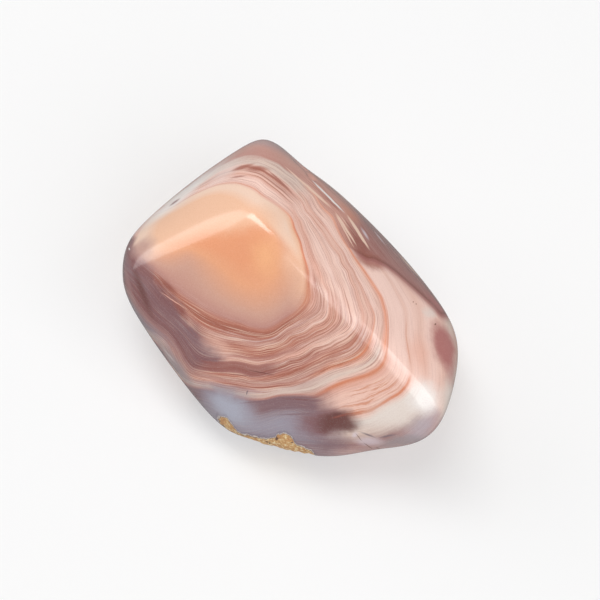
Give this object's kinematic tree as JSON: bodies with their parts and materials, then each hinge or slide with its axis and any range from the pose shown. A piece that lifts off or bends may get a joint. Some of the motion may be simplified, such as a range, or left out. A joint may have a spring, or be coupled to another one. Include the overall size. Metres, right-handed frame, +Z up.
{
  "type": "tumbled agate pebble",
  "caption": "Tumbled botswana agate pebble with an off-centre peak between long worn sides, rounded edges and a small worn-flat foot to rest on.",
  "frame": {"origin": "under the middle of the pebble's outline, on the surface it lies on", "axes": "+X along the pebble's length, towards the end opposite the peak; +Z up, out of the surface it lies on"},
  "size_m": [0.0328, 0.0246, 0.0187],
  "materials": {
    "polished_agate": "polished"
  },
  "bodies": {
    "root": {"agate_pebble": "polished_agate"}
  },
  "joints": []
}
